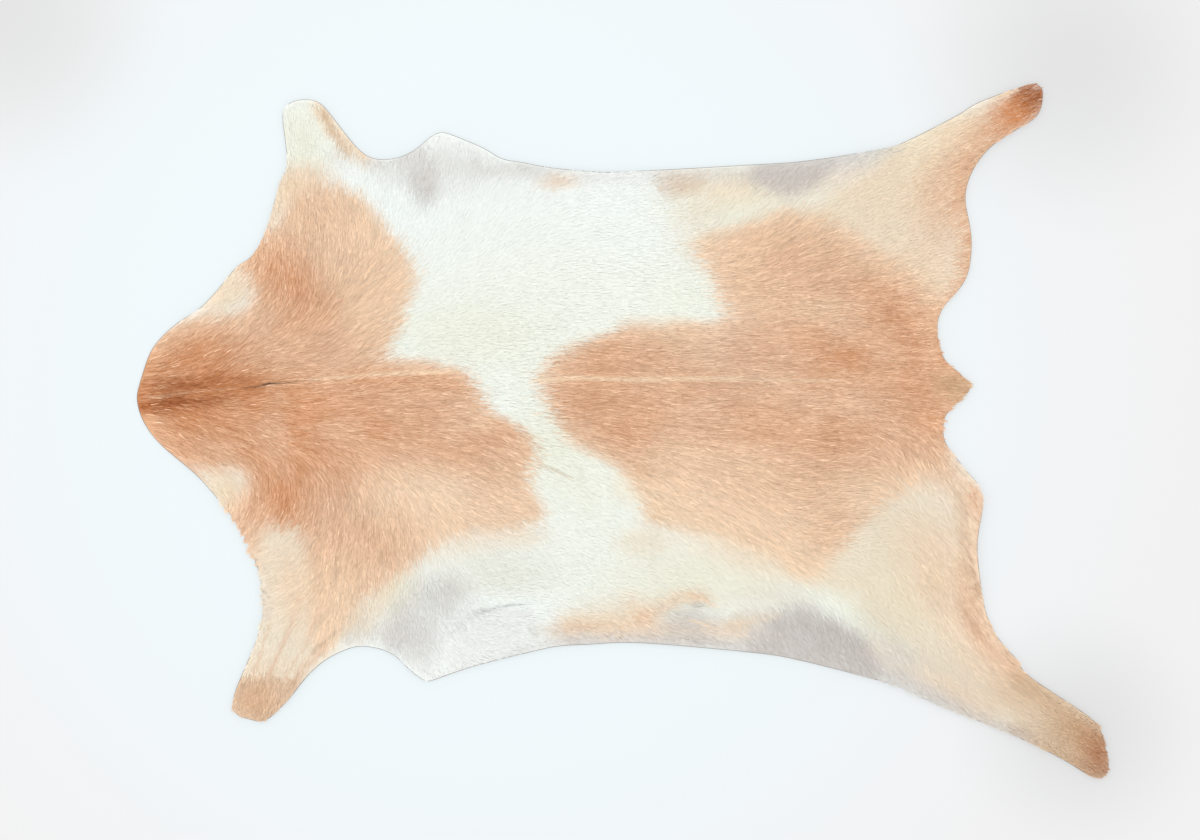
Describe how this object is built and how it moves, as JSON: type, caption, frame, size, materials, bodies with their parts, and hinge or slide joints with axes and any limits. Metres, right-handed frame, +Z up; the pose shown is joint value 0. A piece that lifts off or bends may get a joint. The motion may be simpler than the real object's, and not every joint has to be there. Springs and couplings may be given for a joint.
{
  "type": "goatskin rug",
  "caption": "Whole goat hide rug with short tan and white hair, lying flat, with leg flaps at the corners, a rounded neck and a small tail stub.",
  "frame": {"origin": "on the floor, under the middle of the rug's bounding box", "axes": "+X from the neck to the hind legs, +Y to the animal's right side, +Z up from the flesh side to the hair"},
  "size_m": [0.9718, 0.694, 0.0094],
  "materials": {
    "goat_hair": "short glossy goat hair, tan and golden patches on creamy white, over suede leather"
  },
  "bodies": {
    "root": {"goatskin": "goat_hair"}
  },
  "joints": []
}
